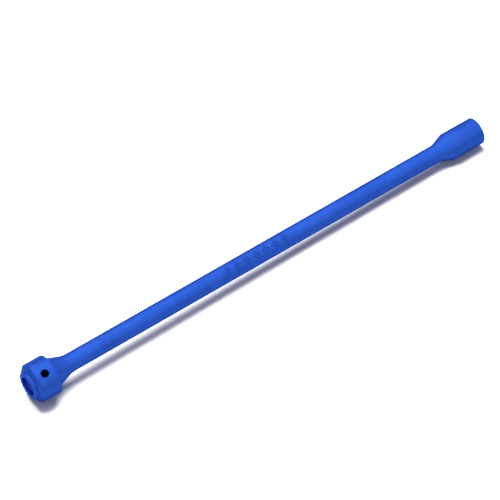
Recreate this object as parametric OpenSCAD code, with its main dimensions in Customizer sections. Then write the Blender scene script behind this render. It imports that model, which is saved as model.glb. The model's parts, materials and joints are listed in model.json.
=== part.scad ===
// Centre driveshaft for a small four-wheel-drive model car.
// One turned alloy shaft: a pinned hub at one end, a slim tube, and a plunging drive cup at the other.
// The three sections meet face to face where the blends run out, and show no seam on the real shaft.
// A screw pin crosses the hub and unscrews to free it from the gearbox input shaft.
// +X runs along the shaft from the hub to the cup. The origin is the centre of the hub's front face.

/* [Shaft] */
// Length from the hub's front face to the cup's end face
shaft_length = 203; // [160:1:240]
// Diameter of the slim tube between the ends
tube_d = 7; // [6.6:0.1:8]
// Slope of both flares against the shaft's axis, in degrees
flare_angle = 20; // [18:1:24]

/* [Hub] */
// Diameter of the nose lip in front of the collar
nose_d = 10.7; // [10:0.1:11.4]
// Length of the nose lip
nose_length = 1.1; // [0.6:0.05:1.2]
// Diameter of the collar
collar_d = 15; // [14:0.1:16]
// Distance from the front face to the collar's rear face
hub_length = 9.8; // [9:0.1:11]
// Diameter of the neck where it leaves the collar
neck_root_d = 12; // [11:0.1:12.4]
// Diameter of the shallow pilot recess in the front face
pilot_d = 7.2; // [7:0.1:8]
// Depth of the pilot recess
pilot_depth = 1.6; // [1.2:0.1:2]
// Diameter of the bore that takes the gearbox input shaft
input_bore_d = 6; // [5.8:0.1:6.2]
// Depth of the input bore from the front face
input_bore_depth = 13; // [11:0.5:14]

/* [Screw pin] */
// Distance from the front face to the pin's axis
pin_station = 5.6; // [5:0.1:6]
// Outer diameter of the pin's threaded head
thread_d = 3; // [2.9:0.05:3.1]
// Length of the threaded head
thread_length = 3.2; // [3:0.1:3.8]
// Diameter of the pin's plain shank
shank_d = 2.5; // [2.3:0.05:2.6]
// How far both ends of the pin sit below the collar's surface
pin_recess = 1.25; // [0.2:0.05:1.5]
// Width across the flats of the key socket in the head
key_af = 1.5; // [1.3:0.1:1.5]
// How far the pin's axis leans back from upright as the shaft lies, in degrees
pin_lean = 24.5; // [0:0.5:60]

/* [Drive cup] */
// Outside diameter of the drive cup
cup_d = 10.8; // [10.3:0.1:12]
// Length of the cup's straight part
cup_length = 13.9; // [12.5:0.1:16]
// Width across the flats of the drive socket
socket_af = 7; // [6:0.1:7]
// Depth of the drive socket from the end face
socket_depth = 12; // [10:0.5:12]
// Diameter of the round lead-in at the mouth
lead_in_d = 8.2; // [8.1:0.1:8.4]
// Depth of the round lead-in
lead_in_depth = 2; // [1.5:0.1:2.5]

/* [Mark] */
// Distance from the hub's front face to the middle of the row of lozenges
mark_centre = 99; // [60:1:110]
// Number of lozenges cut in the tube
mark_count = 7; // [3:1:9]
// Distance between neighbouring lozenges
mark_pitch = 4.3; // [4:0.1:5]
// Length of one lozenge along the shaft
mark_length = 3.6; // [2:0.1:3.8]
// Width of one lozenge across the shaft
mark_width = 3.2; // [2:0.1:4]
// Depth of the lozenges
mark_depth = 0.12; // [0.05:0.01:0.2]

/* [Hidden] */
$fn = 96;

hex_sides = 6;
overcut = 1;
half_turn = 180;
quarter_turn = 90;
arc_steps = 8;

// Edge breaks and blends of the turned profile
nose_edge = 0.25;
collar_step = 0.6;
collar_chamfer = 1.2;
collar_rear_edge = 0.2;
neck_blend_r = 10;
cup_blend_r = 6.5;
shoulder_r = 3.5;
cup_edge_r = 0.5;
drill_tip_angle = 59;

// Gaps between the pin and the holes it runs in
thread_gap = 0.02;
shank_gap = 0.03;

tube_r = tube_d / 2;
nose_r = nose_d / 2;
collar_r = collar_d / 2;
neck_root_r = neck_root_d / 2;
cup_r = cup_d / 2;
input_bore_r = input_bore_d / 2;
pin_reach = collar_r - pin_recess;
pin_length = 2 * pin_reach;
key_depth = thread_length / 2;
shank_edge = 0.3;

// Where each flare's cone would meet the tube and the cup if nothing were blended
flare_slope = tan(flare_angle);
neck_end_x = hub_length + (neck_root_r - tube_r) / flare_slope;
shoulder_x = shaft_length - cup_length;
cup_flare_x = shoulder_x - (cup_r - tube_r) / flare_slope;

// Length of tangent that a blend of radius r takes up on each side of such a corner
function tangent_length(r) = r * tan(flare_angle / 2);

// Ends of the straight tube, where the two blends run out
tube_from_x = neck_end_x + tangent_length(neck_blend_r);
tube_to_x = cup_flare_x - tangent_length(cup_blend_r);

// Blue anodised finish of the whole shaft
module alloy() {
    color([0.13, 0.33, 0.80]) children();
}

// Turns a shape drawn along +Z so that it runs along +X
module along_shaft() {
    rotate([0, quarter_turn, 0]) children();
}

// Turns a shape drawn along +Z to the pin's lean
module along_pin() {
    rotate([pin_lean, 0, 0]) children();
}

// Points on an arc about a centre, angles measured from the outward radial direction
function arc_points(centre, r, from_angle, to_angle) = [
    for (i = [0 : arc_steps])
        let (a = from_angle + (to_angle - from_angle) * i / arc_steps)
            centre + r * [cos(a), sin(a)]
];

// Half outline of the hub with its neck: radius across, distance from the front face upwards
module hub_outline() {
    polygon(concat(
        [
            [0, 0],
            [nose_r - nose_edge, 0],
            [nose_r, nose_edge],
            [nose_r, nose_length],
            [nose_r + collar_step, nose_length],
            [collar_r, nose_length + collar_chamfer],
            [collar_r, hub_length - collar_rear_edge],
            [collar_r - collar_rear_edge, hub_length],
            [neck_root_r, hub_length]
        ],
        arc_points(
            [tube_r + neck_blend_r, tube_from_x],
            neck_blend_r, half_turn + flare_angle, half_turn
        ),
        [[0, tube_from_x]]
    ));
}

// Half outline of the drive cup with its flare, in the same sense
module cup_outline() {
    polygon(concat(
        [[0, tube_to_x]],
        arc_points([tube_r + cup_blend_r, tube_to_x], cup_blend_r, half_turn, half_turn - flare_angle),
        arc_points(
            [cup_r - shoulder_r, shoulder_x + tangent_length(shoulder_r)],
            shoulder_r, -flare_angle, 0
        ),
        arc_points(
            [cup_r - cup_edge_r, shaft_length - cup_edge_r],
            cup_edge_r, 0, quarter_turn
        ),
        [[0, shaft_length]]
    ));
}

// Pilot recess, input bore and drill tip, cut from the hub's face
module input_bore() {
    tip_length = input_bore_r / tan(drill_tip_angle);
    along_shaft() {
        translate([0, 0, -overcut]) cylinder(d = pilot_d, h = pilot_depth + overcut);
        cylinder(d = input_bore_d, h = input_bore_depth);
        translate([0, 0, input_bore_depth]) cylinder(r1 = input_bore_r, r2 = 0, h = tip_length);
    }
}

// Tapped hole on the side the pin goes in from, and the plain hole opposite
module pin_holes() {
    translate([pin_station, 0, 0]) along_pin() {
        cylinder(d = thread_d + 2 * thread_gap, h = collar_d);
        rotate([half_turn, 0, 0]) cylinder(d = shank_d + 2 * shank_gap, h = collar_d);
    }
}

// Six-sided drive socket with its round lead-in, cut from the cup's end face
module drive_socket() {
    socket_corner_d = socket_af / cos(half_turn / hex_sides);
    translate([shaft_length, 0, 0]) rotate([0, -quarter_turn, 0]) {
        translate([0, 0, -overcut]) cylinder(d = lead_in_d, h = lead_in_depth + overcut);
        cylinder(d = socket_corner_d, h = socket_depth, $fn = hex_sides);
    }
}

// Row of plain lozenges sunk in the tube, in line with the pin
module lozenge_row() {
    first_x = mark_centre - (mark_count - 1) * mark_pitch / 2;
    intersection() {
        along_pin() for (i = [0 : mark_count - 1])
            translate([first_x + i * mark_pitch, 0, 0])
                linear_extrude(height = tube_d) lozenge();
        difference() {
            along_shaft() cylinder(d = tube_d + overcut, h = shaft_length);
            along_shaft() cylinder(d = tube_d - 2 * mark_depth, h = shaft_length);
        }
    }
}

module lozenge() {
    polygon([
        [-mark_length / 2, 0],
        [0, -mark_width / 2],
        [mark_length / 2, 0],
        [0, mark_width / 2]
    ]);
}

module pinned_hub() {
    alloy() difference() {
        along_shaft() rotate_extrude() hub_outline();
        input_bore();
        pin_holes();
    }
}

module centre_tube() {
    alloy() difference() {
        translate([tube_from_x, 0, 0]) along_shaft() cylinder(d = tube_d, h = tube_to_x - tube_from_x);
        lozenge_row();
    }
}

module drive_cup() {
    alloy() difference() {
        along_shaft() rotate_extrude() cup_outline();
        drive_socket();
    }
}

// Threaded head with a key socket, then a plain shank with a broken edge at its tip
module screw_pin() {
    key_corner_d = key_af / cos(half_turn / hex_sides);
    color([0.10, 0.10, 0.11]) translate([pin_station, 0, 0]) along_pin() difference() {
        union() {
            translate([0, 0, pin_reach - thread_length]) cylinder(d = thread_d, h = thread_length);
            translate([0, 0, shank_edge - pin_reach])
                cylinder(d = shank_d, h = pin_length - thread_length - shank_edge);
            translate([0, 0, -pin_reach])
                cylinder(d1 = shank_d - 2 * shank_edge, d2 = shank_d, h = shank_edge);
        }
        translate([0, 0, pin_reach - key_depth])
            cylinder(d = key_corner_d, h = key_depth + overcut, $fn = hex_sides);
    }
}

pinned_hub();
centre_tube();
drive_cup();
screw_pin();
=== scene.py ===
import json
import math

import bmesh
import bpy
from mathutils import Matrix, Vector


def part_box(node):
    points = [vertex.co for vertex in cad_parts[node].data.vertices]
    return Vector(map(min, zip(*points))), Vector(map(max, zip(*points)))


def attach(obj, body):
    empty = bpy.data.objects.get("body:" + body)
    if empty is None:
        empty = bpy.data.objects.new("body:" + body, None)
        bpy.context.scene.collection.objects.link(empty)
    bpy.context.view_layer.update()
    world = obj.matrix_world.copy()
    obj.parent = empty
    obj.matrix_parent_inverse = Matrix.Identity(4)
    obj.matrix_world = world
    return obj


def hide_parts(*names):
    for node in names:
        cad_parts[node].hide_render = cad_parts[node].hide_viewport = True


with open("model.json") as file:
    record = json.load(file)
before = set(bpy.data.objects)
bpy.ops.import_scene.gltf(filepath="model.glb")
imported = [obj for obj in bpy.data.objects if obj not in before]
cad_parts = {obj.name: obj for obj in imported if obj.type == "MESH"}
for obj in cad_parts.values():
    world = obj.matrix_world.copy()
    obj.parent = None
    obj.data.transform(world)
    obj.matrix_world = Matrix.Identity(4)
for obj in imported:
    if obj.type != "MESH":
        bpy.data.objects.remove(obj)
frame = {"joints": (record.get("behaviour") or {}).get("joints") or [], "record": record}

bl_info = {
    "name": "Centre Driveshaft",
    "version": (1, 0, 0),
    "blender": (4, 5, 0),
    "location": "View3D > Sidebar > Driveshaft",
    "description": "Turned alloy driveshaft with its screw pin, and a plain white studio",
    "category": "Object",
}

MM = 0.001
QUARTER_TURN = math.pi / 2
HEX_SIDES = 6
SHAFT_SIDES = 144
DRILL_TIP_ANGLE = math.radians(59)

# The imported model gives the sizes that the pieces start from
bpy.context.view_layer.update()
MOUNTS = {mount["name"]: mount["dims"] for mount in frame["record"]["mounts"]}
PILOT = MOUNTS["pilot_recess"]
LEAD_IN = MOUNTS["socket_lead_in"]
HUB_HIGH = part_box("pinned_hub")[1]
TUBE_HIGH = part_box("centre_tube")[1]
CUP_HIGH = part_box("drive_cup")[1]
PIN_LOW, PIN_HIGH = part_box("screw_pin")
PIN_AXIS = Vector(frame["joints"][0]["axis"]).normalized()
PIN_STATION = (PIN_LOW.x + PIN_HIGH.x) / 2


def length(name, default, description):
    """A size in metres that the sidebar shows in the scene's own unit."""
    return bpy.props.FloatProperty(
        name=name, description=description, default=default, min=0.0,
        precision=5, unit="LENGTH", subtype="DISTANCE",
    )


def colour(name, default, description):
    """A linear colour with no alpha."""
    return bpy.props.FloatVectorProperty(
        name=name, description=description, default=default, size=3,
        min=0.0, max=1.0, subtype="COLOR",
    )


def share(name, default, description):
    """A number from nothing to all."""
    return bpy.props.FloatProperty(
        name=name, description=description, default=default,
        min=0.0, max=1.0, subtype="FACTOR",
    )


class ShaftSizes(bpy.types.PropertyGroup):
    """Sizes of the turned shaft"""

    shaft_length: length("Length", CUP_HIGH.x, "Whole shaft, end face to end face")
    tube_diameter: length("Tube diameter", 2 * TUBE_HIGH.y, "Straight middle part")
    nose_diameter: length("Nose diameter", 10.7 * MM, "Short nose in front of the collar")
    nose_length: length("Nose length", 1.1 * MM, "From the front face to the collar")
    nose_edge: length("Nose edge", 0.25 * MM, "Chamfer on the nose")
    collar_step: length("Collar step", 0.6 * MM, "Height of the step from the nose to the collar")
    collar_chamfer: length("Collar chamfer", 1.2 * MM, "Length of the chamfer round the collar's front")
    rear_edge: length("Collar's rear edge", 0.2 * MM, "Chamfer on the collar's rear edge")
    collar_diameter: length("Collar diameter", 2 * HUB_HIGH.y, "Largest diameter, where the pin sits")
    collar_end: length("Collar end", 9.8 * MM, "From the front face to the back of the collar")
    neck_diameter: length("Neck diameter", 12 * MM, "Where the neck leaves the collar")
    neck_blend: length("Neck blend", 10 * MM, "Radius that runs the neck into the tube")
    pilot_diameter: length("Pilot diameter", 2 * MM * PILOT["r_mm"], "Recess in the front face")
    pilot_depth: length("Pilot depth", MM * PILOT["length_mm"], "Depth of that recess")
    bore_diameter: length("Input bore", 6 * MM, "Bore that takes the input shaft")
    bore_depth: length("Bore depth", 13 * MM, "Depth of the bore to its drill tip")
    cup_diameter: length("Cup diameter", 2 * CUP_HIGH.y, "Outside of the drive cup")
    cup_length: length("Cup length", 13.9 * MM, "From the cup's shoulder to the end face")
    cup_blend: length("Cup blend", 6.5 * MM, "Radius that runs the tube into the cup")
    cup_edge: length("Cup edge", 0.5 * MM, "Round on the cup's end")
    shoulder_round: length("Shoulder round", 3.5 * MM, "Radius where the flare meets the cup")
    socket_flats: length("Socket flats", 7 * MM, "Hexagonal drive socket, across its flats")
    socket_depth: length("Socket depth", 12 * MM, "Depth of the hexagonal socket")
    lead_in_diameter: length("Lead-in", 2 * MM * LEAD_IN["r_mm"], "Round mouth of the socket")
    lead_in_depth: length("Lead-in depth", MM * LEAD_IN["length_mm"], "Depth of that mouth")
    flare: bpy.props.FloatProperty(
        name="Flare", description="Slope of the neck and of the cup's flare",
        default=math.radians(20), subtype="ANGLE",
    )
    edge_break: length("Edge break", 0.07 * MM, "Width of the small bevel on turned edges")


class MarkSizes(bpy.types.PropertyGroup):
    """Row of plain lozenges engraved on the tube"""

    centre: length("Centre", 99 * MM, "Middle of the row, from the front face")
    pitch: length("Pitch", 4.3 * MM, "From one lozenge to the next")
    long_side: length("Length", 3.6 * MM, "One lozenge, along the tube")
    wide_side: length("Width", 3.2 * MM, "One lozenge, across the tube")
    depth: length("Depth", 0.12 * MM, "How far it is sunk")
    count: bpy.props.IntProperty(name="Count", description="Lozenges in the row", default=7, min=1)


class PinSizes(bpy.types.PropertyGroup):
    """Sizes of the screw pin and its hole"""

    thread_diameter: length("Thread diameter", 3 * MM, "Outside of the thread")
    thread_pitch: length("Thread pitch", 0.5 * MM, "Advance in one turn")
    thread_length: length("Thread length", 3.2 * MM, "Threaded head")
    shank_diameter: length("Shank diameter", 2.5 * MM, "Plain shank")
    end_recess: length("End recess", 1.25 * MM, "How far the ends lie under the collar")
    key_flats: length("Key flats", 1.5 * MM, "Hexagonal key socket, across its flats")
    key_depth: length("Key depth", 1.6 * MM, "Depth of the key socket")
    end_chamfer: length("End chamfer", 0.3 * MM, "Chamfer on both ends")
    hole_gap: length("Hole gap", 0.02 * MM, "Gap round the thread, in its hole")
    shank_gap: length("Shank gap", 0.03 * MM, "Gap round the shank, in its hole")
    hole_chamfer: length("Hole chamfer", 0.12 * MM, "Chamfer where each hole breaks out")


class FinishSettings(bpy.types.PropertyGroup):
    """Colours and wear of the finishes"""

    dye: colour("Anodising dye", (0.023, 0.123, 0.696), "Colour of the anodised surface")
    dye_deep: colour("Deep dye", (0.017, 0.106, 0.632), "Where the dye has taken darker")
    # Painted shade: a darker blue for the walls of the bore and the drive socket, where shade falls
    bore_dye: colour("Bore painted shade", (0.003, 0.040, 0.480), "On the walls of the bore and the socket")
    # Painted highlight: a lighter blue ring on the step inside the bore's mouth
    step_dye: colour("Step painted highlight", (0.120, 0.260, 0.900), "On the bright step inside the bore's mouth")
    worn_dye: colour("Worn dye", (0.090, 0.210, 0.720), "Along handled edges")
    oxide: colour("Black oxide", (0.004, 0.005, 0.009), "Colour of the screw pin")
    bare_steel: colour("Bare steel", (0.080, 0.090, 0.120), "Where the oxide has rubbed off")
    alloy_roughness: share("Alloy roughness", 0.46, "Satin of the anodised surface")
    oxide_roughness: share("Oxide roughness", 0.42, "Satin of the black oxide")
    wear: share("Wear", 0.35, "How far the edges have rubbed")


class StudioSettings(bpy.types.PropertyGroup):
    """Floor, lights and camera"""

    floor_tone: colour("Floor", (0.80, 0.80, 0.80), "Tone of the floor")
    key_power: bpy.props.FloatProperty(
        name="Key power", description="Large softbox that lights the floor",
        default=5.5, min=0.0, unit="POWER",
    )
    bounce_power: bpy.props.FloatProperty(
        name="Bounce power", description="The same softbox, as the floor throws it back at the metal",
        default=0.9, min=0.0, unit="POWER",
    )
    glow_power: bpy.props.FloatProperty(
        name="Glow power", description="The same softbox, as the metal shows it",
        default=1.7, min=0.0, unit="POWER",
    )
    key_size: length("Key size", 0.26, "Width of the softbox over the floor, across the shaft")
    key_length: length("Key length", 0.34, "Length of that softbox, along the shaft")
    key_station: length("Key station", 0.12, "Where that softbox stands, from the front face")
    key_turn: bpy.props.FloatProperty(
        name="Key turn", description="Turn of that softbox in its own plane",
        default=math.radians(-17), subtype="ANGLE",
    )
    key_distance: length("Key distance", 0.30, "From the middle of the shaft to that softbox")
    glow_size: length("Glow size", 1.30, "Side of the softbox that the metal shows")
    glow_distance: length("Glow distance", 1.00, "From the middle of the shaft to that softbox")
    box_height: bpy.props.FloatProperty(
        name="Softbox height", description="Angle of the softbox above the floor",
        default=math.radians(65), subtype="ANGLE",
    )
    sky_tone: colour("Sky", (1.0, 1.0, 1.0), "Even light over the metal")
    horizon_tone: colour("Horizon", (0.25, 0.25, 0.27), "Light low round the metal")
    shade_tone: colour("Shade", (0.34, 0.34, 0.36), "Even light that reaches the shadows")
    camera_azimuth: bpy.props.FloatProperty(
        name="Azimuth", description="Way the camera looks, turned from +Y towards +X",
        default=math.radians(37.035), subtype="ANGLE",
    )
    camera_elevation: bpy.props.FloatProperty(
        name="Elevation", description="Height of the camera above the shaft's own plane",
        default=math.radians(51.289), subtype="ANGLE",
    )
    camera_distance: length("Distance", 1.2027, "From the camera to the point it looks at")
    camera_lens: bpy.props.FloatProperty(
        name="Lens", description="Focal length in millimetres", default=237.6, min=1.0,
    )


# Modelling helpers


def to_object_mode():
    """Leaves edit mode, if some piece is in it."""
    if bpy.context.object and bpy.context.object.mode != "OBJECT":
        bpy.ops.object.mode_set(mode="OBJECT")


def start_fresh():
    """Nothing selected, so that an operator touches only what is added next."""
    to_object_mode()
    bpy.ops.object.select_all(action="DESELECT")


def take(piece):
    """Makes one piece the selected and active one."""
    start_fresh()
    piece.select_set(True)
    bpy.context.view_layer.objects.active = piece


def pick(piece, test):
    """Selects the edges of the piece in edit mode whose two ends both pass the test."""
    bpy.ops.mesh.select_mode(type="EDGE")
    bpy.ops.mesh.select_all(action="DESELECT")
    mesh = bmesh.from_edit_mesh(piece.data)
    for edge in mesh.edges:
        edge.select_set(all(test(end.co) for end in edge.verts))
    bmesh.update_edit_mesh(piece.data)


def pick_vertices(piece, test):
    """Selects the vertices of the piece in edit mode that pass the test."""
    bpy.ops.mesh.select_mode(type="VERT")
    bpy.ops.mesh.select_all(action="DESELECT")
    mesh = bmesh.from_edit_mesh(piece.data)
    for vertex in mesh.verts:
        vertex.select_set(test(vertex.co))
    bmesh.update_edit_mesh(piece.data)


def settle(piece, matrix=None):
    """Puts the piece in place and applies it, so that its object is at the origin, unturned."""
    take(piece)
    if matrix is not None:
        piece.matrix_world = matrix
    bpy.ops.object.transform_apply(location=True, rotation=True, scale=True)
    return piece


def face_outwards(piece):
    """Merges doubled points and turns every face to look outwards."""
    take(piece)
    bpy.ops.object.mode_set(mode="EDIT")
    bpy.ops.mesh.select_all(action="SELECT")
    bpy.ops.mesh.remove_doubles(threshold=1e-8)
    bpy.ops.mesh.normals_make_consistent(inside=False)
    bpy.ops.object.mode_set(mode="OBJECT")
    return piece


def turned(name, tip_x, outline, sides):
    """Solid of revolution about X: a capped circle, one extrusion a station, and a closed end."""
    start_fresh()
    start_x, start_r = outline[0]
    bpy.ops.mesh.primitive_circle_add(
        vertices=sides, radius=start_r, fill_type="TRIFAN",
        location=(start_x, 0, 0), rotation=(0, QUARTER_TURN, 0),
    )
    piece = bpy.context.object
    piece.name = name
    settle(piece)
    bpy.ops.object.mode_set(mode="EDIT")
    pick_vertices(piece, lambda point: math.hypot(point.y, point.z) < start_r / 2)
    bpy.ops.transform.translate(value=(tip_x - start_x, 0, 0))
    pick(piece, lambda point: math.hypot(point.y, point.z) > start_r / 2)
    for (x, r), (next_x, next_r) in zip(outline, outline[1:]):
        bpy.ops.mesh.extrude_region_move(TRANSFORM_OT_translate={"value": (next_x - x, 0, 0)})
        scale = next_r / r
        bpy.ops.transform.resize(value=(1, scale, scale), center_override=(next_x, 0, 0))
    bpy.ops.mesh.extrude_region_move(TRANSFORM_OT_translate={"value": (0, 0, 0)})
    bpy.ops.mesh.merge(type="CENTER")
    return face_outwards(piece)


def prism(name, sides, corner_r, from_x, to_x, turn=0.0):
    """Straight prism along X, turned about X from a corner on +Y."""
    start_fresh()
    bpy.ops.mesh.primitive_cylinder_add(
        vertices=sides, radius=corner_r, depth=to_x - from_x,
        location=((from_x + to_x) / 2, 0, 0), rotation=(0, QUARTER_TURN, 0),
    )
    piece = bpy.context.object
    piece.name = name
    settle(piece)
    return settle(piece, Matrix.Rotation(turn, 4, "X"))


def combine(piece, tool, operation):
    """Cuts, joins or trims the piece with a tool solid, which is used up."""
    take(piece)
    bpy.ops.object.modifier_add(type="BOOLEAN")
    step = piece.modifiers[-1]
    step.operation = operation
    step.solver = "EXACT"
    step.object = tool
    bpy.ops.object.modifier_apply(modifier=step.name)
    bpy.data.objects.remove(tool)
    return piece


def break_edges(piece, width, sharpest=30):
    """Small bevel along every edge that turns by more than the angle."""
    take(piece)
    bpy.ops.object.modifier_add(type="BEVEL")
    step = piece.modifiers[-1]
    step.width = width
    step.segments = 2
    step.limit_method = "ANGLE"
    step.angle_limit = math.radians(sharpest)
    step.miter_outer = "MITER_ARC"
    bpy.ops.object.modifier_apply(modifier=step.name)
    return piece


def smooth(piece, sharpest=30):
    """Smooth shading that keeps edges sharper than the angle."""
    take(piece)
    bpy.ops.object.shade_smooth_by_angle(angle=math.radians(sharpest))
    return piece


def arc(centre_x, centre_r, radius, from_angle, to_angle, steps=8):
    """Stations on an arc, with angles measured from straight outwards towards +X."""
    return [
        (centre_x + radius * math.sin(angle), centre_r + radius * math.cos(angle))
        for angle in (
            from_angle + (to_angle - from_angle) * step / steps for step in range(steps + 1)
        )
    ]


def straight(from_x, to_x, radius, pieces):
    """Stations between two ends of a straight cylinder, ends left out."""
    return [(from_x + (to_x - from_x) * step / pieces, radius) for step in range(1, pieces)]


def pin_place(x=PIN_STATION):
    """Matrix that stands a shape drawn along X on the pin's line."""
    return Matrix.Translation((x, 0, 0)) @ PIN_AXIS.to_track_quat("X", "Z").to_matrix().to_4x4()


# The turned shaft


def shaft_outline(sizes):
    """Stations of the whole turned outline, from the drill tip out, along and in again."""
    tube_r = sizes.tube_diameter / 2
    nose_r = sizes.nose_diameter / 2
    collar_r = sizes.collar_diameter / 2
    neck_r = sizes.neck_diameter / 2
    cup_r = sizes.cup_diameter / 2
    bore_r = sizes.bore_diameter / 2
    pilot_r = sizes.pilot_diameter / 2
    lead_r = sizes.lead_in_diameter / 2
    end_x = sizes.shaft_length
    slope = math.tan(sizes.flare)
    half_flare = math.tan(sizes.flare / 2)
    neck_end = sizes.collar_end + (neck_r - tube_r) / slope
    tube_from = neck_end + sizes.neck_blend * half_flare
    shoulder_x = end_x - sizes.cup_length
    flare_from = shoulder_x - (cup_r - tube_r) / slope
    tube_to = flare_from - sizes.cup_blend * half_flare
    cup_edge = sizes.cup_edge
    front = [
        (sizes.bore_depth, bore_r),
        (sizes.bore_depth / 2, bore_r),
        (sizes.pilot_depth, bore_r),
        (sizes.pilot_depth, pilot_r),
        (0.12 * MM, pilot_r),
        (0, pilot_r + 0.12 * MM),
        (0, nose_r - sizes.nose_edge),
        (sizes.nose_edge, nose_r),
        (sizes.nose_length, nose_r),
        (sizes.nose_length, nose_r + sizes.collar_step),
        (sizes.nose_length + sizes.collar_chamfer, collar_r),
        (sizes.collar_end - sizes.rear_edge, collar_r),
        (sizes.collar_end, collar_r - sizes.rear_edge),
        (sizes.collar_end, neck_r),
    ]
    neck = arc(tube_from, tube_r + sizes.neck_blend, sizes.neck_blend,
               math.pi + sizes.flare, math.pi)
    tube = straight(tube_from, tube_to, tube_r, 12)
    flare = arc(tube_to, tube_r + sizes.cup_blend, sizes.cup_blend,
                math.pi, math.pi - sizes.flare)
    shoulder = arc(shoulder_x + sizes.shoulder_round * half_flare, cup_r - sizes.shoulder_round,
                   sizes.shoulder_round, -sizes.flare, 0)
    cup_end = arc(end_x - cup_edge, cup_r - cup_edge, cup_edge, 0, QUARTER_TURN, 6)
    socket_mouth = [
        (end_x, lead_r + 0.15 * MM),
        (end_x - 0.15 * MM, lead_r),
        (end_x - sizes.lead_in_depth, lead_r),
    ]
    return front + neck + tube + flare + shoulder + cup_end + socket_mouth


def hole_cutter(name, radius, chamfer, sizes):
    """Drill for one side of the pin hole, widened where it breaks out of the collar."""
    surface = sizes.collar_diameter / 2
    return turned(
        name, 0,
        [
            (0.2 * MM, radius),
            (surface - chamfer - 0.05 * MM, radius),
            (surface + 0.1 * MM, radius + chamfer + 0.15 * MM),
            (surface + MM, radius + chamfer + 0.15 * MM),
        ],
        64,
    )


def lozenge_cutter(sizes, mark):
    """Shells that sink the row of lozenges to one depth below the tube's surface."""
    tube_r = sizes.tube_diameter / 2
    lean = math.atan2(-PIN_AXIS.y, PIN_AXIS.z)
    start_fresh()
    bpy.ops.mesh.primitive_cylinder_add(
        vertices=4, radius=1, depth=tube_r, location=(0, 0, tube_r),
    )
    first = bpy.context.object
    first.name = "lozenge_cutter"
    first.scale = (mark.long_side / 2, mark.wide_side / 2, 1)
    settle(first)
    first_x = mark.centre - (mark.count - 1) * mark.pitch / 2
    settle(first, Matrix.Translation((first_x, 0, 0)) @ Matrix.Rotation(lean, 4, "X"))
    row = [first]
    for step in range(1, mark.count):
        take(first)
        bpy.ops.object.duplicate(linked=False)
        copy = bpy.context.object
        row.append(settle(copy, Matrix.Translation((step * mark.pitch, 0, 0))))
    take(first)
    for copy in row:
        copy.select_set(True)
    bpy.context.view_layer.objects.active = first
    bpy.ops.object.join()
    core = prism("mark_floor", SHAFT_SIDES, tube_r - mark.depth, 0, sizes.shaft_length)
    return combine(first, core, "DIFFERENCE")


class DRIVESHAFT_OT_shaft(bpy.types.Operator):
    """Turns the one-piece shaft, then drills, broaches and engraves it"""

    bl_idname = "driveshaft.shaft"
    bl_label = "Driveshaft"

    def execute(self, context):
        sizes = context.scene.shaft_sizes
        pin = context.scene.pin_sizes
        mark = context.scene.mark_sizes
        tip = sizes.bore_depth + sizes.bore_diameter / 2 / math.tan(DRILL_TIP_ANGLE)
        shaft = turned("driveshaft", tip, shaft_outline(sizes), SHAFT_SIDES)
        break_edges(shaft, sizes.edge_break)
        corner_r = sizes.socket_flats / 2 / math.cos(math.pi / HEX_SIDES)
        socket = prism(
            "socket_cutter", HEX_SIDES, corner_r,
            sizes.shaft_length - sizes.socket_depth, sizes.shaft_length, QUARTER_TURN,
        )
        combine(shaft, socket, "DIFFERENCE")
        thread_hole = hole_cutter(
            "thread_hole", pin.thread_diameter / 2 + pin.hole_gap, pin.hole_chamfer, sizes)
        settle(thread_hole, pin_place())
        combine(shaft, thread_hole, "DIFFERENCE")
        shank_hole = hole_cutter(
            "shank_hole", pin.shank_diameter / 2 + pin.shank_gap, pin.hole_chamfer, sizes)
        settle(shank_hole, pin_place() @ Matrix.Rotation(math.pi, 4, "Z"))
        combine(shaft, shank_hole, "DIFFERENCE")
        combine(shaft, lozenge_cutter(sizes, mark), "DIFFERENCE")
        smooth(shaft)
        shaft.data.materials.clear()
        shaft.data.materials.append(anodised_alloy(context.scene.finish_settings, sizes, mark))
        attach(shaft, "shaft")
        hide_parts("pinned_hub", "centre_tube", "drive_cup")
        return {"FINISHED"}


# The screw pin


def thread_rod(pin, from_x, to_x):
    """Closed rod with a right-hand thread, run longer than needed and cut off square."""
    pitch = pin.thread_pitch
    crest = pin.thread_diameter / 2
    root = crest - 0.58 * pitch
    start_x = from_x - 2 * pitch
    profile = [
        (start_x, root), (start_x + 0.22 * pitch, root),
        (start_x + 0.55 * pitch, crest), (start_x + 0.67 * pitch, crest), (start_x + pitch, root),
    ]
    start_fresh()
    bpy.ops.mesh.primitive_plane_add(size=pitch, location=(profile[0][0], 0, profile[0][1]))
    rod = bpy.context.object
    rod.name = "screw_thread"
    settle(rod)
    bpy.ops.object.mode_set(mode="EDIT")
    bpy.ops.mesh.select_all(action="SELECT")
    bpy.ops.mesh.merge(type="CENTER")
    bpy.ops.mesh.select_mode(type="VERT")
    bpy.ops.mesh.select_all(action="SELECT")
    for (x, r), (next_x, next_r) in zip(profile, profile[1:]):
        bpy.ops.mesh.extrude_vertices_move(
            TRANSFORM_OT_translate={"value": (next_x - x, 0, next_r - r)})
    bpy.ops.object.mode_set(mode="OBJECT")
    bpy.ops.object.modifier_add(type="SCREW")
    step = rod.modifiers[-1]
    step.axis = "X"
    step.angle = 2 * math.pi
    step.screw_offset = pitch
    step.iterations = math.ceil((to_x - from_x) / pitch) + 4
    step.steps = 48
    step.render_steps = 48
    step.use_merge_vertices = True
    step.merge_threshold = 1e-7
    bpy.ops.object.modifier_apply(modifier=step.name)
    bpy.ops.object.mode_set(mode="EDIT")
    bpy.ops.mesh.select_all(action="SELECT")
    bpy.ops.mesh.remove_doubles(threshold=1e-7)
    for cut_x, outwards in ((from_x, -1), (to_x, 1)):
        bpy.ops.mesh.select_all(action="SELECT")
        bpy.ops.mesh.bisect(
            plane_co=(cut_x, 0, 0), plane_no=(outwards, 0, 0),
            use_fill=True, clear_outer=True, threshold=1e-9,
        )
    bpy.ops.object.mode_set(mode="OBJECT")
    return face_outwards(rod)


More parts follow.
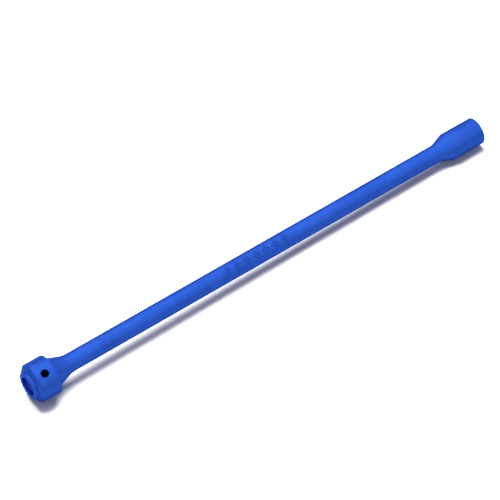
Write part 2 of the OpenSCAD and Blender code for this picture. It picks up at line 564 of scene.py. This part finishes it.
class DRIVESHAFT_OT_screw_pin(bpy.types.Operator):
    """Screw pin: threaded head with a key socket, and a plain shank"""

    bl_idname = "driveshaft.screw_pin"
    bl_label = "Screw pin"

    def execute(self, context):
        sizes = context.scene.shaft_sizes
        pin = context.scene.pin_sizes
        reach = sizes.collar_diameter / 2 - pin.end_recess
        head_from = reach - pin.thread_length
        thread_r = pin.thread_diameter / 2
        shank_r = pin.shank_diameter / 2
        chamfer = pin.end_chamfer
        screw = thread_rod(pin, head_from, reach)
        envelope = turned(
            "head_envelope", head_from - 0.1 * MM,
            [
                (head_from - 0.1 * MM, shank_r - 0.1 * MM),
                (head_from + 0.2 * MM, thread_r),
                (reach - chamfer, thread_r),
                (reach, thread_r - chamfer),
            ],
            96,
        )
        combine(screw, envelope, "INTERSECT")
        shank = turned(
            "shank", -reach,
            [
                (-reach, shank_r - chamfer),
                (chamfer - reach, shank_r),
                (0, shank_r),
                (head_from + 0.15 * MM, shank_r),
                (head_from + 0.5 * MM, shank_r - 0.4 * MM),
            ],
            96,
        )
        combine(screw, shank, "UNION")
        key_r = pin.key_flats / 2 / math.cos(math.pi / HEX_SIDES)
        key = prism("key_cutter", HEX_SIDES, key_r, reach - pin.key_depth, reach + MM)
        combine(screw, key, "DIFFERENCE")
        mouth = turned(
            "key_mouth", reach - 0.2 * MM,
            [(reach - 0.15 * MM, key_r - 0.15 * MM), (reach + 0.1 * MM, key_r + 0.1 * MM)],
            48,
        )
        combine(screw, mouth, "DIFFERENCE")
        screw.name = "screw_pin_detailed"
        smooth(settle(screw, pin_place()))
        screw.data.materials.clear()
        screw.data.materials.append(black_oxide_steel(context.scene.finish_settings))
        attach(screw, "pin")
        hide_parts("screw_pin")
        return {"FINISHED"}


# Finishes


class Value:
    """A number that varies over a surface. Arithmetic on it adds Math nodes."""

    def __init__(self, finish, socket):
        self.finish = finish
        self.socket = socket

    def _maths(self, operation, *numbers):
        return self.finish.node("ShaderNodeMath", {"operation": operation}, *numbers)

    def __add__(self, other):
        return self._maths("ADD", self, other)

    __radd__ = __add__

    def __sub__(self, other):
        return self._maths("SUBTRACT", self, other)

    def __rsub__(self, other):
        return self._maths("SUBTRACT", other, self)

    def __mul__(self, other):
        return self._maths("MULTIPLY", self, other)

    __rmul__ = __mul__

    def root(self):
        return self._maths("SQRT", self)

    def clamped(self):
        return self.finish.node("ShaderNodeClamp", {}, self)

    def between(self, low, high):
        """0 at low, 1 at high and a smooth step from one to the other."""
        return self.finish.node(
            "ShaderNodeMapRange", {"interpolation_type": "SMOOTHSTEP"},
            **{"Value": self, "From Min": low, "From Max": high},
        )


class Finish:
    """One material or sky, whose nodes all come from node()."""

    def __init__(self, name, tree=None):
        if tree is None:
            self.material = bpy.data.materials.new(name)
            self.material.use_nodes = True
            tree = self.material.node_tree
        self.tree = tree
        self.tree.nodes.clear()

    def node(self, kind, settings, *ordered, output=0, numbered=None, **named):
        """Adds a node: its settings first, then its sockets in order, by number or by name."""
        made = self.tree.nodes.new(kind)
        for setting, value in settings.items():
            setattr(made, setting, value)
        for socket, value in [*enumerate(ordered), *(numbered or {}).items(), *named.items()]:
            if isinstance(value, Value):
                self.tree.links.new(value.socket, made.inputs[socket])
            else:
                made.inputs[socket].default_value = value
        return None if output is None else Value(self, made.outputs[output])

    def part(self, value, output):
        """Another output of the node that a value came from."""
        return Value(self, value.socket.node.outputs[output])

    def mix(self, share, one, other):
        """Colour between one and other."""
        return self.node(
            "ShaderNodeMix", {"data_type": "RGBA"}, output=2, numbered={0: share, 6: one, 7: other})

    def noise(self, place, scale, detail=2.0, roughness=0.5):
        """Noise over the surface, about 0.5."""
        return self.node(
            "ShaderNodeTexNoise", {"noise_dimensions": "3D"},
            **{"Vector": place, "Scale": scale, "Detail": detail, "Roughness": roughness},
        )

    def turning(self, place, scale, detail, roughness):
        """Noise that changes only with the distance along and out from the shaft's axis."""
        return self.node(
            "ShaderNodeTexNoise", {"noise_dimensions": "1D"},
            **{"W": place * scale, "Scale": 1.0, "Detail": detail, "Roughness": roughness},
        )

    def edges(self, width):
        """1 on corners that stand out or in within the width, and 0 on open surface."""
        rounded = self.node("ShaderNodeBevel", {"samples": 4}, width)
        plain = self.node("ShaderNodeNewGeometry", {}, output="Normal")
        both = self.node(
            "ShaderNodeVectorMath", {"operation": "DOT_PRODUCT"}, rounded, plain, output="Value")
        return (1 - both).between(0.01, 0.16)

    def surface(self, settings, **sockets):
        """Ends the material in one shader."""
        shader = self.node("ShaderNodeBsdfPrincipled", settings, **sockets)
        self.end(shader, "ShaderNodeOutputMaterial")
        return self.material

    def end(self, shader, kind):
        """Sends the shader to an output node."""
        self.node(kind, {}, output=None, Surface=shader)


def opaque(colour_values, factor=1.0):
    """Linear colour with its alpha, made lighter or darker."""
    return (*(value * factor for value in colour_values), 1.0)


def engraved(along, radius, sizes, mark):
    """1 on the floors of the engraved row and 0 on the rest of the tube."""
    half_row = mark.count * mark.pitch / 2
    deep = sizes.tube_diameter / 2 - mark.depth
    below = 1 - radius.between(deep + 0.3 * mark.depth, deep + 0.7 * mark.depth)
    first = along.between(mark.centre - half_row - 0.1 * MM, mark.centre - half_row)
    last = 1 - along.between(mark.centre + half_row, mark.centre + half_row + 0.1 * MM)
    return below * first * last


def hollow(along, radius, sizes):
    """1 on the walls of the input bore and the drive socket, and 0 outside and on their steps: where
    shade is painted darker and the surface is made smoother.
    """
    bore_r = sizes.bore_diameter / 2
    pilot_r = sizes.pilot_diameter / 2
    lead_r = sizes.lead_in_diameter / 2
    bore = 1 - radius.between(bore_r + 0.03 * MM, bore_r + 0.08 * MM)
    pilot = radius.between(pilot_r - 0.06 * MM, pilot_r - 0.02 * MM)
    pilot = pilot * (1 - radius.between(pilot_r + 0.02 * MM, pilot_r + 0.06 * MM))
    front = (bore + pilot) * (1 - along.between(sizes.bore_depth + 1.8 * MM, sizes.bore_depth + 2 * MM))
    socket = 1 - radius.between(lead_r + 0.02 * MM, lead_r + 0.06 * MM)
    from_x = sizes.shaft_length - sizes.socket_depth
    socket = socket * along.between(from_x - 0.2 * MM, from_x)
    return (front + socket).clamped()


def bore_step_highlight(along, radius, sizes):
    """1 on the thin step where the pilot recess meets the input bore, where a highlight is painted."""
    bore_r = sizes.bore_diameter / 2
    ring = radius.between(bore_r - 0.02 * MM, bore_r + 0.02 * MM)
    ring = ring * (1 - radius.between(bore_r + 0.45 * MM, bore_r + 0.5 * MM))
    depth = along.between(sizes.pilot_depth - 0.3 * MM, sizes.pilot_depth - 0.2 * MM)
    past = along.between(sizes.pilot_depth + 0.3 * MM, sizes.pilot_depth + 0.4 * MM)
    return ring * depth * (1 - past)


def anodised_alloy(settings, sizes, mark):
    """Satin dyed anodising over turned alloy, with rings left by the tool and rubbed edges."""
    finish = Finish("anodised_alloy")
    place = finish.node("ShaderNodeTexCoord", {}, output="Object")
    along = finish.node("ShaderNodeSeparateXYZ", {}, place)
    across = finish.part(along, "Y")
    up = finish.part(along, "Z")
    radius = (across * across + up * up).root()
    rings = finish.turning(along + radius, 9000.0, 3.0, 0.6)
    bands = finish.turning(along + radius, 420.0, 2.0, 0.5)
    grain = finish.noise(place, 11000.0, 2.0)
    drift = finish.noise(place, 70.0, 3.0)
    rubbed = finish.noise(place, 900.0, 4.0, 0.65).between(0.46, 0.66)
    edge = finish.edges(0.14 * MM)
    wear = edge * (rubbed * 0.8 + 0.2) * settings.wear
    sunk = engraved(along, radius, sizes, mark)
    uneven = (drift * 0.7 + bands * 0.3).between(0.36, 0.66)
    tone = finish.mix(uneven, opaque(settings.dye_deep), opaque(settings.dye))
    inside = hollow(along, radius, sizes)
    # Painted shade: darkens the walls of the bore and the drive socket
    tone = finish.mix(inside * 0.9, tone, opaque(settings.bore_dye))
    # Painted highlight: a lighter ring on the step inside the bore's mouth
    tone = finish.mix(bore_step_highlight(along, radius, sizes), tone, opaque(settings.step_dye))
    tone = finish.mix(sunk * 0.28, tone, opaque(settings.dye_deep, 0.45))
    tone = finish.mix(wear.clamped(), tone, opaque(settings.worn_dye))
    roughness = sunk * 0.12 - inside * 0.10 + settings.alloy_roughness
    roughness = roughness + (rings - 0.5) * 0.10 + (grain - 0.5) * 0.08 - edge * 0.05
    height = rings * 0.6 + grain * 0.4
    bump = finish.node(
        "ShaderNodeBump", {}, **{"Strength": 0.35, "Distance": 0.004 * MM, "Height": height})
    return finish.surface(
        {},
        **{
            "Base Color": tone, "Metallic": 1.0, "Roughness": roughness.clamped(),
            "Normal": bump, "Specular Tint": (0.35, 0.5, 1.0, 1.0),
            "Coat Weight": 0.25, "Coat Roughness": 0.35,
        },
    )


def black_oxide_steel(settings):
    """Black oxide on steel, rubbed back to bright metal along the crests and corners."""
    finish = Finish("black_steel")
    place = finish.node("ShaderNodeTexCoord", {}, output="Object")
    grain = finish.noise(place, 9000.0, 3.0, 0.6)
    patches = finish.noise(place, 1400.0, 3.0, 0.6)
    edge = finish.edges(0.06 * MM)
    bare = edge * patches.between(0.46, 0.66) * settings.wear * 0.5
    uneven = patches.between(0.3, 0.7)
    film = finish.mix(uneven, opaque(settings.oxide), opaque(settings.oxide, 1.9))
    tone = finish.mix(bare.clamped(), film, opaque(settings.bare_steel))
    roughness = settings.oxide_roughness + (grain - 0.5) * 0.25 - edge * 0.08
    bump = finish.node(
        "ShaderNodeBump", {}, **{"Strength": 0.4, "Distance": 0.004 * MM, "Height": grain})
    return finish.surface(
        {},
        **{
            "Base Color": tone, "Metallic": 0.85, "Roughness": roughness.clamped(),
            "Normal": bump, "Specular IOR Level": 0.25, "Specular Tint": (0.3, 0.3, 0.32, 1.0),
        },
    )


def floor_paint(settings):
    """Matt white board with a hardly visible mottle."""
    finish = Finish("floor_board")
    place = finish.node("ShaderNodeTexCoord", {}, output="Object")
    mottle = finish.noise(place, 6.0, 3.0)
    tone = finish.mix(mottle, opaque(settings.floor_tone), opaque(settings.floor_tone, 0.985))
    return finish.surface({}, **{"Base Color": tone, "Roughness": 0.9, "Specular IOR Level": 0.1})


# The studio


def bounce_board(floor):
    """Board just over the floor that only the metal's reflections see, with a light of its own."""
    take(floor)
    bpy.ops.object.duplicate(linked=False)
    board = bpy.context.object
    board.name = "studio_board"
    board.location.z += 0.02 * MM
    board.visible_camera = False
    board.visible_diffuse = False
    board.visible_shadow = False
    floor.visible_glossy = False
    return board


def softbox(name, middle, rise, distance, along, across, power):
    """Softbox above and behind the shaft, with its sizes along and across the shaft."""
    away = Vector((0, math.cos(rise), math.sin(rise)))
    start_fresh()
    bpy.ops.object.light_add(type="AREA", location=middle + away * distance)
    box = bpy.context.object
    box.name = name
    box.rotation_euler = away.to_track_quat("Z", "Y").to_euler()
    box.data.shape = "RECTANGLE"
    box.data.size = along
    box.data.size_y = across
    box.data.energy = power
    box.visible_camera = False
    return box


def light_only(lamp, lit):
    """Keeps the lamp's light to these objects."""
    group = bpy.data.collections.new(lamp.name + "_lights")
    for each in lit:
        group.objects.link(each)
    lamp.light_linking.receiver_collection = group


def even_sky(settings):
    """World that the metal sees bright overhead and dark at the horizon, and the floor sees dim."""
    world = bpy.data.worlds.new("studio_sky")
    world.use_nodes = True
    sky = Finish("", world.node_tree)
    place = sky.node("ShaderNodeTexCoord", {}, output="Generated")
    height = sky.part(sky.node("ShaderNodeSeparateXYZ", {}, place), "Z")
    tone = sky.mix(height.between(0.0, 0.5), opaque(settings.horizon_tone), opaque(settings.sky_tone))
    bright = sky.node("ShaderNodeBackground", {}, tone)
    dim = sky.node("ShaderNodeBackground", {}, opaque(settings.shade_tone))
    diffuse = sky.node("ShaderNodeLightPath", {}, output="Is Diffuse Ray")
    sky.end(sky.node("ShaderNodeMixShader", {}, diffuse, bright, dim), "ShaderNodeOutputWorld")
    world.cycles.sampling_method = "NONE"
    return world


class DRIVESHAFT_OT_studio(bpy.types.Operator):
    """White floor under the shaft, a large soft key from behind, even fill and the camera"""

    bl_idname = "driveshaft.studio"
    bl_label = "Studio"

    def execute(self, context):
        scene = context.scene
        settings = scene.studio_settings
        sizes = scene.shaft_sizes
        collar_foot = Vector((sizes.collar_end, 0, -sizes.collar_diameter / 2))
        cup_foot = Vector((sizes.shaft_length, 0, -sizes.cup_diameter / 2))
        lean = math.atan2(cup_foot.z - collar_foot.z, cup_foot.x - collar_foot.x)
        start_fresh()
        bpy.ops.mesh.primitive_plane_add(size=4, location=collar_foot, rotation=(0, -lean, 0))
        floor = context.object
        floor.name = "studio_floor"
        floor.data.materials.append(floor_paint(settings))
        board = bounce_board(floor)
        middle = Vector((sizes.shaft_length / 2, 0, 0))
        key_foot = Vector((settings.key_station, 0, 0))
        near = (
            key_foot, settings.box_height, settings.key_distance,
            settings.key_length, settings.key_size,
        )
        key = softbox("studio_key", *near, settings.key_power)
        key.rotation_euler.rotate_axis("Z", settings.key_turn)
        light_only(key, [floor])
        bounce = softbox("studio_bounce", *near, settings.bounce_power)
        light_only(bounce, [board])
        softbox(
            "studio_glow", middle, settings.box_height,
            settings.glow_distance, settings.glow_size, settings.glow_size, settings.glow_power)
        scene.world = even_sky(settings)
        aim = Vector((100.06 * MM, 3.60 * MM, 0))
        azimuth = settings.camera_azimuth
        elevation = settings.camera_elevation
        look = Vector((
            math.sin(azimuth) * math.cos(elevation),
            math.cos(azimuth) * math.cos(elevation),
            -math.sin(elevation),
        ))
        upright = Vector((-math.sin(lean), 0, math.cos(lean)))
        right = look.cross(upright).normalized()
        top = right.cross(look)
        turn = Matrix((right, top, -look)).transposed().to_4x4()
        start_fresh()
        bpy.ops.object.camera_add()
        camera = context.object
        camera.name = "studio_camera"
        camera.matrix_world = Matrix.Translation(aim - look * settings.camera_distance) @ turn
        camera.data.lens = settings.camera_lens
        camera.data.clip_start = 0.01
        camera.data.clip_end = 20
        scene.camera = camera
        scene.view_settings.view_transform = "Standard"
        scene.view_settings.look = "None"
        scene.view_settings.exposure = 0
        scene.view_settings.gamma = 1
        return {"FINISHED"}


class DRIVESHAFT_PT_panel(bpy.types.Panel):
    """Sizes, finishes and the operators that make each piece"""

    bl_idname = "DRIVESHAFT_PT_panel"
    bl_label = "Driveshaft"
    bl_space_type = "VIEW_3D"
    bl_region_type = "UI"
    bl_category = "Driveshaft"

    def draw(self, context):
        scene = context.scene
        layout = self.layout
        for title, group, operator in (
            ("Shaft", scene.shaft_sizes, "driveshaft.shaft"),
            ("Engraved row", scene.mark_sizes, None),
            ("Screw pin", scene.pin_sizes, "driveshaft.screw_pin"),
            ("Finishes", scene.finish_settings, None),
            ("Studio", scene.studio_settings, "driveshaft.studio"),
        ):
            box = layout.box()
            box.label(text=title)
            for name in group.__annotations__:
                box.prop(group, name)
            if operator:
                box.operator(operator)


GROUPS = {
    "shaft_sizes": ShaftSizes,
    "mark_sizes": MarkSizes,
    "pin_sizes": PinSizes,
    "finish_settings": FinishSettings,
    "studio_settings": StudioSettings,
}
CLASSES = (
    *GROUPS.values(),
    DRIVESHAFT_OT_shaft,
    DRIVESHAFT_OT_screw_pin,
    DRIVESHAFT_OT_studio,
    DRIVESHAFT_PT_panel,
)


def register():
    for each in CLASSES:
        bpy.utils.register_class(each)
    for name, group in GROUPS.items():
        setattr(bpy.types.Scene, name, bpy.props.PointerProperty(type=group))


def unregister():
    for name in GROUPS:
        delattr(bpy.types.Scene, name)
    for each in reversed(CLASSES):
        bpy.utils.unregister_class(each)


def main():
    register()
    bpy.ops.driveshaft.studio()
    bpy.ops.driveshaft.shaft()
    bpy.ops.driveshaft.screw_pin()


if __name__ == "__main__":
    main()
